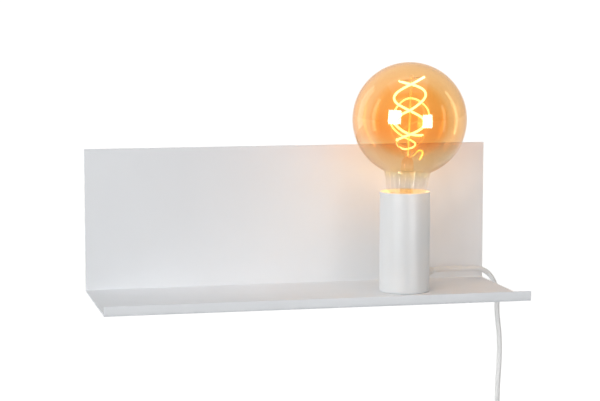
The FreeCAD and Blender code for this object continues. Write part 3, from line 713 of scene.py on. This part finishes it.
# ------------------------------------------------------------- folded sheet
WIDTH, SHEET_T, BACK_H, DEPTH, LIP_H, BEND = 350.0, 1.5, 119.2, 127.0, 6.8, 0.8
E = 0.38
sheet_outline = soften([
    (SHEET_T, BACK_H, E), (0, BACK_H, E), (0, 0, BEND), (-(DEPTH - SHEET_T), 0, BEND),
    (-(DEPTH - SHEET_T), LIP_H, E), (-DEPTH, LIP_H, E), (-DEPTH, -SHEET_T, BEND + SHEET_T),
    (SHEET_T, -SHEET_T, BEND + SHEET_T)], E, 6)
sheet = slab("folded_sheet", sheet_outline, lambda u, w, a: P(a, u, w), -WIDTH / 2, WIDTH / 2, 0.3, spans=1)
for sx in (-11.0, 11.0):
    cut(sheet, lathe("hole", [(0, -4), (2.25, -4), (2.25, 2), (0, 2)], P(AX + sx, AY, 0), segs=40))
stands_for(sheet, LAMP, "white_powder_coat", white_powder, "shelf_bracket")

# --------------------------------------------------------------------- cup
EX = Vector((math.cos(math.radians(40.0)), math.sin(math.radians(40.0)), 0))
EXIT = P(AX, AY, 12.2)
cup = lathe("lamp_cup_shell", soften([
    (0, 0, 0), (21.0, 0, 1.5), (21.0, 84.2, 0.55), (19.8, 84.2, 0.55), (19.8, 1.5, 0.8), (0, 1.5, 0)],
    0.5, 6), P(AX, AY, 0), segs=160, closed=False)
cut(cup, lathe("hole", [(0, 14), (4.1, 14), (4.1, 26), (0, 26)], EXIT, EX, segs=48))
for sx in (-11.0, 11.0):
    cut(cup, lathe("hole", [(0, -2), (2.25, -2), (2.25, 4), (0, 4)], P(AX + sx, AY, 0), segs=40))
stands_for(cup, LAMP, "cup_powder_coat", cup_powder, "lamp_cup")

# strain relief with flexing grooves
grooves = [(2.3, 16.8), (4.5, 16.8), (4.5, 18.6), (4.05, 18.9), (4.05, 21.0), (5.0, 21.0), (5.0, 22.0), (4.4, 23.0)]
for i in range(6):
    a = 25.2 + 2.5 * i
    r = 4.4 - 1.1 * (a - 23.0) / 18.0
    grooves += [(r, a), (r - 0.6, a + 0.25), (r - 0.65, a + 1.0), (r - 0.08, a + 1.25)]
grooves += [(3.3, 40.7), (3.05, 41.0), (2.3, 41.0)]
relief = lathe("strain_relief_sleeve", soften(grooves, 0.18, 3), EXIT, EX, segs=64)
stands_for(relief, LAMP, "white_rubber", relief_white, "strain_relief")

# --------------------------------------------------------------- globe lamp
PITCH_E27 = 3.629


outer = [(11.0, 57.4), (11.4, 57.5), (12.1, 58.6), (12.5, 59.6), (12.9, 60.4)] \
    + [(13.1, 60.8 + 0.24 * i) for i in range(76)] + [(13.1, 79.3), (13.05, 79.8), (12.9, 80.0)]
inner = [(12.78, 79.6), (12.75, 79.0)] + [(12.75, 78.6 - 0.3 * i) for i in range(60)] + [(12.4, 60.4), (11.2, 58.6), (10.95, 58.0)]


def cap_shape(r, z, t):
    fade = max(0.0, min(1.0, (z - 60.2) / 1.8)) * max(0.0, min(1.0, (76.4 - z) / 1.8))
    if r < 12.5 and z < 60.5:
        return r, z
    wave = math.cos(2 * math.pi * z / PITCH_E27 - t)
    return r - 0.55 * fade + 0.55 * wave * fade, z


bulb_cap = lathe("bulb_cap_shell", outer + inner, P(AX, AY, 0), segs=120, shape=cap_shape, sharp=60)
stands_for(bulb_cap, BULB, "nickel", nickel, "bulb_cap")

cement_ring = lathe("cap_cement_ring", [(11.5, 67.0), (11.62, 67.2), (11.62, 77.5), (11.9, 78.0), (11.9, 78.3), (11.5, 78.2)],
                    P(AX, AY, 0), segs=64)
stands_for(cement_ring, BULB, "cement", cement, "cap_cement")


def shell_shape(r, z, t):
    fade = max(0.0, min(1.0, (z - 48.5) / 1.8)) * max(0.0, min(1.0, (75.8 - z) / 1.8))
    wave = math.cos(2 * math.pi * z / PITCH_E27 - t)
    return r - 0.62 * fade + 0.55 * wave * fade, z


shell_out = [(9.0, 47.0), (13.3, 47.0), (13.8, 47.4)] + [(13.83, 47.8 + 0.3 * i) for i in range(95)] \
    + [(13.85, 76.4), (14.3, 77.0), (14.3, 77.4), (13.9, 77.4), (13.5, 76.7)]
shell_in = [(13.5, 76.2 - 0.3 * i) for i in range(95)] + [(13.3, 47.6), (9.0, 47.35)]
shell = lathe("screw_shell_sheet", shell_out + shell_in, P(AX, AY, 0), segs=120, shape=shell_shape, sharp=60)
stands_for(shell, LAMP, "brass", brass, "screw_shell")


def envelope(t):
    """Half section of the globe, from the foot of the neck up to the pole."""
    g, gz, fx, fz = 47.8 - t, 144.28, 21.95, 98.4
    n = math.hypot(fx, gz - fz)
    ux, uz = fx / n, -(gz - fz) / n
    fr = n - g
    knots = [(11.3 - t, 79.8), (12.8 - t, 81.8), (16.3 - t, 84.4), (17.3 - t, 87.2), (17.6 - t, 90.5),
             (18.25 - t, 94.6), (fx - fr, fz)]
    pts = [(11.3 - t, 66.0 + 13.8 * i / 6) for i in range(6)]
    for i in range(len(knots) - 1):
        a, b = knots[i], knots[i + 1]
        ta = (0.0, 2.4) if i == 0 else ((knots[i + 1][0] - knots[i - 1][0]) / 2, (knots[i + 1][1] - knots[i - 1][1]) / 2)
        tb = (0.0, 4.0) if i == len(knots) - 2 else ((knots[i + 2][0] - knots[i][0]) / 2, (knots[i + 2][1] - knots[i][1]) / 2)
        for j in range(6):
            s = j / 6
            h = (2 * s**3 - 3 * s**2 + 1, s**3 - 2 * s**2 + s, -2 * s**3 + 3 * s**2, s**3 - s**2)
            pts.append(tuple(h[0] * a[d] + h[1] * ta[d] + h[2] * b[d] + h[3] * tb[d] for d in (0, 1)))
    a0, a1 = math.pi, math.atan2(-uz, -ux)
    for j in range(8):
        a = a0 + (a1 - a0) * j / 8
        pts.append((fx + fr * math.cos(a), fz + fr * math.sin(a)))
    b0 = math.atan2(uz, ux)
    for j in range(73):
        a = b0 + (math.pi / 2 - b0) * j / 72
        pts.append((max(0.0, g * math.cos(a)), gz + g * math.sin(a)))
    pts[-1] = (0.0, gz + g)
    return pts


globe = lathe("globe_glass", envelope(0.0) + list(reversed(envelope(0.7))), P(AX, AY, 0), segs=160, sharp=70)
globe.data.transform(LEAN)
stands_for(globe, BULB, "amber_glass", amber_glass, "bulb_glass")


def pinch(r, z, t):
    """The stem's tube, pressed flat where the wires pass through it."""
    k2 = max(0.0, min(1.0, (z - 100.0) / 8.0))
    k2 = k2 * k2 * (3 - 2 * k2)
    c, s = math.cos(t), math.sin(t)
    sx, sy = 1.0 + 0.0 * k2, 1.0 - 0.45 * k2
    return r * math.sqrt((sx * c) ** 2 + (sy * s) ** 2), z


stem = lathe("stem_glass", [
    (0, 66.0), (10.6, 66.0), (10.6, 66.8), (8.8, 67.6), (7.4, 68.9), (6.3, 70.8), (5.7, 72.9), (5.45, 76.0), (5.4, 84.0),
    (5.4, 92.0), (5.4, 99.0), (5.4, 102.0), (5.35, 105.0), (5.0, 108.2), (4.4, 110.5), (3.2, 112.4), (1.6, 113.2), (0, 113.4)],
    P(AX, AY, 0), segs=72, closed=False, shape=pinch, sharp=60)
stem.data.transform(LEAN)
stands_for(stem, BULB, "clear_glass", stem_glass, "bulb_stem")

rod_profile = [(0, 113.2), (0.95, 113.4), (0.95, 130.0), (0.95, 150.0), (0.95, 176.6), (1.15, 177.6), (1.6, 178.4), (1.72, 179.2),
               (1.55, 180.1), (1.0, 180.7), (0, 180.9)]
rod = lathe("support_rod_glass", rod_profile, P(AX, AY, 0), segs=32, closed=False, sharp=60)
rod.data.transform(LEAN)
stands_for(rod, BULB, "clear_glass", rod_glass, "support_rod")

STRAND_A = [
    (98.6, -73.6, 180.1), (93.0, -75.5, 177.2), (87.0, -75.0, 174.2), (80.9, -71.6, 170.7), (76.9, -65.4, 166.7),
    (76.4, -58.0, 162.0), (81.2, -50.0, 157.1), (88.0, -47.0, 153.5), (94.0, -47.4, 150.5), (99.3, -50.3, 147.6),
    (103.0, -55.6, 144.8), (103.0, -64.3, 141.8), (98.5, -72.5, 138.5), (92.8, -75.2, 135.5), (86.1, -75.2, 132.6),
    (80.4, -72.6, 130.3), (76.4, -68.2, 127.5)]
STRAND_B = [
    (84.1, -48.6, 175.7), (89.6, -46.9, 173.8), (95.4, -47.5, 172.6), (100.4, -50.4, 170.9), (103.9, -55.6, 168.3),
    (103.2, -64.1, 164.5), (98.2, -73.3, 161.0), (92.0, -75.5, 156.5), (86.0, -75.0, 152.6), (80.3, -71.9, 149.7),
    (76.4, -66.6, 145.9), (76.5, -58.2, 141.9), (82.4, -50.6, 137.1), (88.2, -49.3, 133.0), (93.7, -50.0, 130.9),
    (98.5, -52.3, 130.0), (102.5, -57.0, 130.6)]
STRAND_C = [
    (80.6, -49.2, 151.9), (84.9, -44.9, 156.1), (89.9, -44.0, 159.7), (94.8, -44.4, 161.2), (99.6, -46.9, 160.3),
    (103.6, -50.6, 157.4), (106.2, -56.0, 153.6), (106.6, -61.5, 149.6), (105.0, -66.5, 146.0)]
STRAND_D = [
    (74.2, -56.0, 141.6), (78.6, -48.2, 136.2), (84.4, -45.4, 131.6), (89.9, -44.8, 127.9), (95.6, -45.6, 125.6),
    (99.6, -47.2, 122.6), (97.4, -46.6, 119.4), (90.4, -45.4, 117.6), (85.2, -45.4, 119.6), (82.8, -46.2, 123.4),
    (82.8, -46.8, 127.4)]
main_strands = strand("filament_strands", [STRAND_A, STRAND_B], 1.9, 10)
stands_for(main_strands, BULB, "filament", filament, "led_filaments")
thin_strands = strand("filament_thin_strands", [STRAND_C, STRAND_D], 1.4, 10)
stands_for(thin_strands, BULB, "filament", filament_thin)

WIRES = [
    [(90.2, -61.2, 112.4, 0.45), (94.4, -61.2, 114.4, 0.5), (96.6, -61.2, 117.6, 0.9), (99.4, -61.2, 118.4, 1.5), (101.4, -61.2, 116.4, 1.9),
     (100.8, -61.2, 113.2, 1.9), (98.6, -61.2, 110.4, 1.4)],
    [(86.6, -61.8, 112.6, 0.55), (83.0, -62.6, 117.6, 0.55), (79.0, -65.2, 122.4, 0.55), (76.5, -67.9, 127.2, 0.55)],
    [(89.4, -60.4, 113.2, 0.55), (95.2, -59.6, 119.4, 0.55), (100.2, -58.4, 125.0, 0.55), (102.4, -57.1, 130.3, 0.55)],
    [(91.1, -61.4, 178.2, 0.55), (94.0, -66.0, 179.4, 0.55), (98.2, -73.0, 180.0, 0.55)],
    [(90.9, -61.0, 177.0, 0.55), (88.0, -56.0, 176.8, 0.55), (84.5, -49.2, 175.9, 0.55)],
]
wires = strand("lead_in_wires", WIRES[1:], 1.3, 8)
stands_for(wires, BULB, "lead_wire", lead_dim, "lead_wires")
# the hook takes the wire with painted filament light on it
hook = strand("pinch_hook", WIRES[:1], 1.3, 8)
stands_for(hook, BULB, "lead_wire", lead_metal_painted_lit)

# -------------------------------------------------- bumpers, switch and plug
pads = []
for sx in (-155.0, 155.0):
    pads.append(lathe("pad", soften([(0, 0, 0), (6.0, 0, 0.4), (5.8, 4.2, 1.0), (4.9, 5.1, 0.5), (0, 5.1, 0)], 0.4, 4),
                      P(sx, SHEET_T, 12), (0, 1, 0), segs=48, closed=False))
stands_for(join("rear_bumper_pads", pads), LAMP, "bumper_rubber", bumper_rubber, "rear_bumpers")

for node, slot_name, material, width in (
        ("switch_base", "switch_white", switch_white, 0.25), ("switch_cover", "switch_white", switch_white, 0.3),
        ("plug_body", "plug_white", plug_white, 0.35)):
    stands_for(refine(node, node + "_moulding", width), LAMP, slot_name, material, node)
stands_for(refine("switch_rocker", "switch_rocker_key", 0.4), ROCKER, "switch_white", rocker_white, "switch_rocker")
stands_for(refine("coil_tie", "coil_tie_band", 0.3), LAMP, "tie_fabric", tie_fabric, "coil_tie")

for node, material in (
        ("wall_rail", zinc), ("lamp_rail", white_powder), ("holder_bridge", zinc), ("bridge_screws", screw_steel),
        ("bridge_nuts", screw_steel), ("entry_nipple", zinc), ("entry_nut", screw_steel), ("toothed_washer", screw_steel),
        ("holder_cap", holder_plastic), ("holder_skirt", holder_plastic), ("holder_insert", holder_ceramic),
        ("terminal_screws", brass), ("centre_contact", brass), ("cord_inlet", cord_white), ("cord_clip", zinc),
        ("lead_brown", brown), ("lead_blue", blue), ("bulb_contact", solder), ("bulb_insulator", insulator),
        ("driver_board", board_mat), ("rocker_axle", zinc), ("switch_screws", screw_steel), ("switch_terminals", brass),
        ("plug_relief", relief_white), ("plug_pins", nickel), ("plug_sleeves", sleeve_white)):
    finish_node(node, material)

for c in (cord_a, cord_b):
    c.data.materials.append(cord_white)

# ------------------------------------------------------- cords, as declared
for c, nodes in ((cord_a, ("cord_hanging",)), (cord_b, ("cord_to_coil", "cord_coil", "cord_tail"))):
    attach(c, LAMP)
    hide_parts(*nodes)

# ---------------------------------------------------------- floor and light
FLOOR_BACK = 0.81
WORLD_FRONT, WORLD_REAR, WORLD_BACK = 0.56, 0.03, 1.02
MIRROR_FRONT, MIRROR_SIDES = 0.18, 0.75
KEY_LEFT, KEY_FRONT, KEY_RIGHT, OVERHEAD = 5.68, 1.64, 1.05, 0.62
LAMP_W = 0.132
NECK_W = 0.014
me = bpy.data.meshes.new("floor")
me.from_pydata([(-60, -30, -0.47), (60, -30, -0.47), (60, 240, -0.47), (-60, 240, -0.47)], [], [(0, 1, 2, 3)])
floor = bpy.data.objects.new("floor", me)
SCENE.collection.objects.link(floor)
fl = Shade("pale floor", (0.80, 0.80, 0.80), 0.9, **{"Specular IOR Level": 0.0})
fl.b.inputs["Emission Color"].default_value = (1, 1, 1, 1)
fsep = fl.node("ShaderNodeSeparateXYZ")
fl.link(fl.coords, fsep.inputs[0])
fade = fl.node("ShaderNodeMapRange", interpolation_type="SMOOTHSTEP")
for key, v in (("From Min", -1.1), ("From Max", 1.25), ("To Min", 0.05), ("To Max", FLOOR_BACK)):
    fade.inputs[key].default_value = v
fl.link(fsep.outputs["Y"], fade.inputs["Value"])
fl.link(fade.outputs["Result"], fl.b.inputs["Emission Strength"])
me.materials.append(fl.mat)

world = bpy.data.worlds.new("studio")
SCENE.world = world
world.use_nodes = True
wt = world.node_tree
bg = wt.nodes["Background"]
bg.inputs["Color"].default_value = (1, 1, 1, 1)
wc = wt.nodes.new("ShaderNodeTexCoord")
sep = wt.nodes.new("ShaderNodeSeparateXYZ")
wt.links.new(wc.outputs["Generated"], sep.inputs[0])


def level(stops):
    """Brightness of the surroundings by direction, from the camera's side to the backdrop."""
    n = wt.nodes.new("ShaderNodeValToRGB")
    e = n.color_ramp.elements
    while len(e) < len(stops):
        e.new(0.5)
    for el, (y, v) in zip(e, stops):
        el.position = (y + 1) / 2
        el.color = (v / 1.1, v / 1.1, v / 1.1, 1)
    m = wt.nodes.new("ShaderNodeMapRange")
    m.inputs["From Min"].default_value = -1.0
    wt.links.new(sep.outputs["Y"], m.inputs["Value"])
    wt.links.new(m.outputs["Result"], n.inputs[0])
    return n.outputs[0]


# what lights the lamp, and what a mirror sees: a dark studio in front, a white backdrop behind
lit = level([(-1.0, WORLD_FRONT), (-0.35, WORLD_FRONT), (0.55, WORLD_REAR), (1.0, WORLD_REAR)])
seen = level([(-1.0, MIRROR_FRONT), (-0.45, MIRROR_FRONT), (0.15, MIRROR_SIDES), (0.60, MIRROR_SIDES), (0.85, WORLD_BACK)])
side = wt.nodes.new("ShaderNodeMapRange")
for key, v in (("From Min", -1.0), ("From Max", 1.0), ("To Min", 1.49), ("To Max", 0.51)):
    side.inputs[key].default_value = v
wt.links.new(sep.outputs["X"], side.inputs["Value"])
shaded = wt.nodes.new("ShaderNodeVectorMath")
shaded.operation = "SCALE"
wt.links.new(lit, shaded.inputs[0])
wt.links.new(side.outputs["Result"], shaded.inputs["Scale"])
lit = shaded.outputs[0]
path = wt.nodes.new("ShaderNodeLightPath")
pick = wt.nodes.new("ShaderNodeMix")
pick.data_type = "RGBA"
wt.links.new(path.outputs["Is Glossy Ray"], pick.inputs[0])
wt.links.new(lit, pick.inputs[6])
wt.links.new(seen, pick.inputs[7])
plain = wt.nodes.new("ShaderNodeMix")
plain.data_type = "RGBA"
wt.links.new(level([(-1.0, 0.62), (-0.1, 0.70), (0.45, WORLD_BACK), (1.0, WORLD_BACK)]), plain.inputs[7])
wt.links.new(path.outputs["Is Camera Ray"], plain.inputs[0])
wt.links.new(pick.outputs[2], plain.inputs[6])
wt.links.new(plain.outputs[2], bg.inputs["Color"])
bg.inputs["Strength"].default_value = 1.1


def softbox(name, centre, target, w, h, radiance, mirrored=None):
    """A plain soft light panel of even brightness. With mirrored, a second panel in the same
    place shows in reflections at that brightness, and the first one only lights."""
    if mirrored is not None:
        softbox(name + "_mirrored", centre, target, w, h, mirrored).visible_diffuse = False
    data = bpy.data.lights.new(name, "AREA")
    data.shape = "RECTANGLE"
    data.size, data.size_y = w, h
    data.energy = radiance * math.pi * w * h
    o = bpy.data.objects.new(name, data)
    SCENE.collection.objects.link(o)
    o.location = centre
    o.rotation_euler = (Vector(target) - Vector(centre)).to_track_quat("-Z", "Y").to_euler()
    o.visible_glossy = mirrored is None
    return o


HEART = P(90.0, -61.2, 146.0)


def around(azimuth, elevation, distance):
    """A place round the globe; azimuth 0 is straight out from the wall, positive towards +X."""
    a, e = math.radians(azimuth), math.radians(elevation)
    return HEART + Vector((math.sin(a) * math.cos(e), -math.cos(a) * math.cos(e), math.sin(e))) * distance


softbox("key_left", around(-46.2, 7.3, 1.5), HEART, 0.70, 0.72, KEY_LEFT, 17.0)
softbox("key_right", around(19.8, -0.5, 1.5), HEART, 0.54, 0.66, KEY_RIGHT, 17.0)
softbox("key_front", around(-25.0, 12.0, 1.5), HEART, 0.70, 0.72, KEY_FRONT).visible_glossy = False
softbox("overhead", P(-30, -250, 1150), P(0, -60, 0), 1.2, 0.8, OVERHEAD)
# tall narrow panels to the sides, seen as the upright streaks on the glass
for name, azimuth, w, h, radiance, warm in (
        ("strip_left", -92.0, 0.24, 2.0, 2.2, (1.0, 0.95, 0.62)), ("strip_back_left", -134.0, 0.56, 2.2, 1.25, (1.0, 1.0, 0.9)),
        ("strip_right", 57.0, 0.16, 1.3, 1.5, (1.0, 0.95, 0.8)), ("strip_back_right", 91.0, 0.24, 2.2, 3.3, (1.0, 0.85, 0.5))):
    strip = softbox(name, around(azimuth, 2.0, 1.6), HEART, w, h, radiance)
    strip.visible_diffuse = False
    strip.data.color = warm

lamp_light = bpy.data.lights.new("filament_light", "POINT")
lamp_light.energy = LAMP_W
lamp_light.color = (1.0, 0.475, 0.13)
lamp_light.shadow_soft_size = 0.02
lo = bpy.data.objects.new("filament_light", lamp_light)
lo.location = P(99.0, -79.0, 128.0)
SCENE.collection.objects.link(lo)
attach(lo, BULB)
lo.visible_camera = lo.visible_glossy = lo.visible_transmission = False
# light led down the clear neck, which brightens the cup's inner rim
neck_light = bpy.data.lights.new("neck_light", "POINT")
neck_light.energy = NECK_W
neck_light.color = (1.0, 0.56, 0.17)
neck_light.shadow_soft_size = 0.006
no = bpy.data.objects.new("neck_light", neck_light)
no.location = P(AX, AY, 89.0)
SCENE.collection.objects.link(no)
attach(no, BULB)
no.visible_camera = no.visible_glossy = no.visible_transmission = False

SCENE.view_settings.view_transform = "Standard"
SCENE.view_settings.look = "None"
SCENE.view_settings.exposure = 0.0  # exposure
SCENE.view_settings.gamma = 1.0

# the lit filaments bloom a little, as they do in a photograph
SCENE.use_nodes = True
ct = SCENE.node_tree
ct.nodes.clear()
layers = ct.nodes.new("CompositorNodeRLayers")
bloom = ct.nodes.new("CompositorNodeGlare")
bloom.glare_type = "BLOOM"
bloom.inputs["Threshold"].default_value = 1.25
bloom.inputs["Smoothness"].default_value = 0.2
bloom.inputs["Strength"].default_value = 0.5
bloom.inputs["Size"].default_value = 0.18
bloom.inputs["Tint"].default_value = (1.0, 0.80, 0.36, 1.0)
final = ct.nodes.new("CompositorNodeComposite")
ct.links.new(layers.outputs["Image"], bloom.inputs["Image"])
ct.links.new(bloom.outputs["Image"], final.inputs["Image"])
